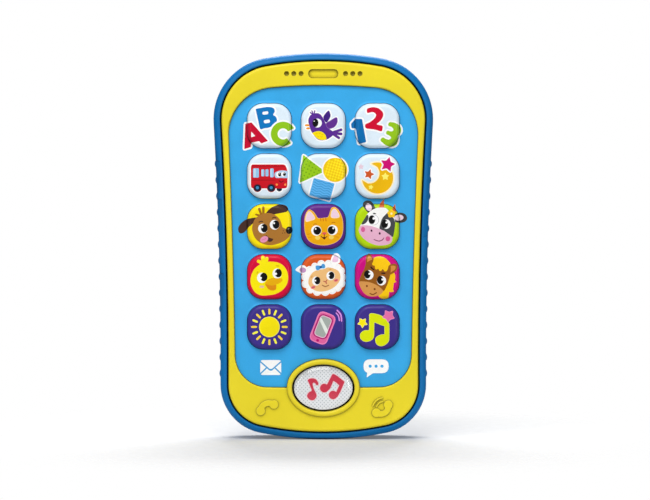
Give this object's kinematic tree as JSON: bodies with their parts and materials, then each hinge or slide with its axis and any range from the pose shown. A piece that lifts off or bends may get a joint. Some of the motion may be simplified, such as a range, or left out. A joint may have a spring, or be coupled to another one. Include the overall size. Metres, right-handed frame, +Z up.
{
  "type": "toy cell phone",
  "caption": "Chunky toddler's toy phone with ribbed sides, picture keys in rows, an oval music button, a power slider and a battery door at the back.",
  "frame": {"origin": "foot of the phone, in the middle of its width and thickness", "axes": "+Z up the phone's height, +X to the right seen from the front, front faces -Y"},
  "size_m": [0.0852, 0.026, 0.15],
  "materials": {
    "blue_shell": "satin moulded ABS",
    "yellow_shell": "satin moulded ABS",
    "blue_film": "printed satin film",
    "clear_lens": "clear gloss",
    "silver_print": "printed silver",
    "white_plastic": "matt",
    "silicone": "matt",
    "carbon": "matt",
    "board": "solder mask",
    "resin": "gloss",
    "ceramic": "matt",
    "capacitor_sleeve": "gloss sleeve",
    "lamp": "tinted clear",
    "steel": "pressed",
    "black_plastic": "matt",
    "cone_paper": "paper",
    "cell_wrap": "gloss sleeve",
    "nickel": "nickel plated",
    "screw_steel": "zinc plated",
    "wire_red": "satin sleeve",
    "wire_black": "satin sleeve",
    "white_key": "printed gloss",
    "yellow_key": "printed gloss",
    "purple_key": "printed gloss",
    "lime_key": "printed gloss",
    "crimson_key": "printed gloss",
    "orange_key": "printed gloss",
    "magenta_key": "printed gloss",
    "indigo_key": "printed gloss"
  },
  "bodies": {
    "housing": {"battery_cells": "cell_wrap", "battery_plates": "nickel", "battery_springs": "nickel", "battery_wires": "wire_red", "chip_blob": "resin", "contact_mat": "silicone", "contact_pills": "carbon", "electrolytic_capacitor": "capacitor_sleeve", "front_shell": "yellow_shell", "housing_screws": "screw_steel", "key_film": "blue_film", "main_pcb": "board", "pcb_screws": "screw_steel", "rear_shell": "blue_shell", "slide_switch_body": "steel", "smd_parts": "ceramic", "speaker_clamp_screws": "screw_steel", "speaker_cone": "cone_paper", "speaker_frame": "steel", "speaker_magnet": "steel", "speaker_wires": "wire_black", "status_led": "lamp"},
    "music_button": {"home_button_lens": "clear_lens", "home_button_insert": "silver_print", "home_button_plunger": "white_plastic"},
    "slider": {"power_slider": "yellow_shell", "switch_lever": "black_plastic"},
    "door": {"battery_door": "blue_shell"},
    "door_screw": {"battery_door_screw": "screw_steel"},
    "key_bird": {"key_bird": "white_key"},
    "key_bus": {"key_bus": "white_key"},
    "key_cat": {"key_cat": "purple_key"},
    "key_cow": {"key_cow": "lime_key"},
    "key_dog": {"key_dog": "yellow_key"},
    "key_duck": {"key_duck": "crimson_key"},
    "key_horse": {"key_horse": "magenta_key"},
    "key_letters": {"key_letters": "white_key"},
    "key_moon": {"key_moon": "white_key"},
    "key_music": {"key_music": "indigo_key"},
    "key_numbers": {"key_numbers": "white_key"},
    "key_phone": {"key_phone": "indigo_key"},
    "key_shapes": {"key_shapes": "white_key"},
    "key_sheep": {"key_sheep": "orange_key"},
    "key_sun": {"key_sun": "indigo_key"}
  },
  "joints": [
    {"name": "key_bird_press", "type": "slide", "parent": "housing", "child": "key_bird", "axis": [0, 1, 0], "range_m": [0, 0.001], "stiffness_N_per_m": 100, "springref_m": -0.003, "deforming": ["contact_mat", "contact_pills"]},
    {"name": "key_bus_press", "type": "slide", "parent": "housing", "child": "key_bus", "axis": [0, 1, 0], "range_m": [0, 0.001], "stiffness_N_per_m": 100, "springref_m": -0.003, "deforming": ["contact_mat", "contact_pills"]},
    {"name": "key_cat_press", "type": "slide", "parent": "housing", "child": "key_cat", "axis": [0, 1, 0], "range_m": [0, 0.001], "stiffness_N_per_m": 100, "springref_m": -0.003, "deforming": ["contact_mat", "contact_pills"]},
    {"name": "key_cow_press", "type": "slide", "parent": "housing", "child": "key_cow", "axis": [0, 1, 0], "range_m": [0, 0.001], "stiffness_N_per_m": 100, "springref_m": -0.003, "deforming": ["contact_mat", "contact_pills"]},
    {"name": "key_dog_press", "type": "slide", "parent": "housing", "child": "key_dog", "axis": [0, 1, 0], "range_m": [0, 0.001], "stiffness_N_per_m": 100, "springref_m": -0.003, "deforming": ["contact_mat", "contact_pills"]},
    {"name": "key_duck_press", "type": "slide", "parent": "housing", "child": "key_duck", "axis": [0, 1, 0], "range_m": [0, 0.001], "stiffness_N_per_m": 100, "springref_m": -0.003, "deforming": ["contact_mat", "contact_pills"]},
    {"name": "key_horse_press", "type": "slide", "parent": "housing", "child": "key_horse", "axis": [0, 1, 0], "range_m": [0, 0.001], "stiffness_N_per_m": 100, "springref_m": -0.003, "deforming": ["contact_mat", "contact_pills"]},
    {"name": "key_letters_press", "type": "slide", "parent": "housing", "child": "key_letters", "axis": [0, 1, 0], "range_m": [0, 0.001], "stiffness_N_per_m": 100, "springref_m": -0.003, "deforming": ["contact_mat", "contact_pills"]},
    {"name": "key_moon_press", "type": "slide", "parent": "housing", "child": "key_moon", "axis": [0, 1, 0], "range_m": [0, 0.001], "stiffness_N_per_m": 100, "springref_m": -0.003, "deforming": ["contact_mat", "contact_pills"]},
    {"name": "key_music_press", "type": "slide", "parent": "housing", "child": "key_music", "axis": [0, 1, 0], "range_m": [0, 0.001], "stiffness_N_per_m": 100, "springref_m": -0.003, "deforming": ["contact_mat", "contact_pills"]},
    {"name": "key_numbers_press", "type": "slide", "parent": "housing", "child": "key_numbers", "axis": [0, 1, 0], "range_m": [0, 0.001], "stiffness_N_per_m": 100, "springref_m": -0.003, "deforming": ["contact_mat", "contact_pills"]},
    {"name": "key_phone_press", "type": "slide", "parent": "housing", "child": "key_phone", "axis": [0, 1, 0], "range_m": [0, 0.001], "stiffness_N_per_m": 100, "springref_m": -0.003, "deforming": ["contact_mat", "contact_pills"]},
    {"name": "key_shapes_press", "type": "slide", "parent": "housing", "child": "key_shapes", "axis": [0, 1, 0], "range_m": [0, 0.001], "stiffness_N_per_m": 100, "springref_m": -0.003, "deforming": ["contact_mat", "contact_pills"]},
    {"name": "key_sheep_press", "type": "slide", "parent": "housing", "child": "key_sheep", "axis": [0, 1, 0], "range_m": [0, 0.001], "stiffness_N_per_m": 100, "springref_m": -0.003, "deforming": ["contact_mat", "contact_pills"]},
    {"name": "key_sun_press", "type": "slide", "parent": "housing", "child": "key_sun", "axis": [0, 1, 0], "range_m": [0, 0.001], "stiffness_N_per_m": 100, "springref_m": -0.003, "deforming": ["contact_mat", "contact_pills"]},
    {"name": "music_button_press", "type": "slide", "parent": "housing", "child": "music_button", "axis": [0, 1, 0], "range_m": [0, 0.001], "stiffness_N_per_m": 100, "springref_m": -0.003, "deforming": ["contact_mat", "contact_pills"]},
    {"name": "power_slide", "type": "slide", "parent": "housing", "child": "slider", "axis": [1, 0, 0], "range_m": [0, 0.005]},
    {"name": "battery_door_lift", "type": "slide", "parent": "housing", "child": "door", "axis": [0, 1, 0], "range_m": [0, 0.015]},
    {"name": "battery_door_screw_turn", "type": "hinge", "parent": "door", "child": "door_screw", "pos_m": [0, 0.011, 0.0825], "axis": [0, 1, 0], "continuous": true}
  ]
}
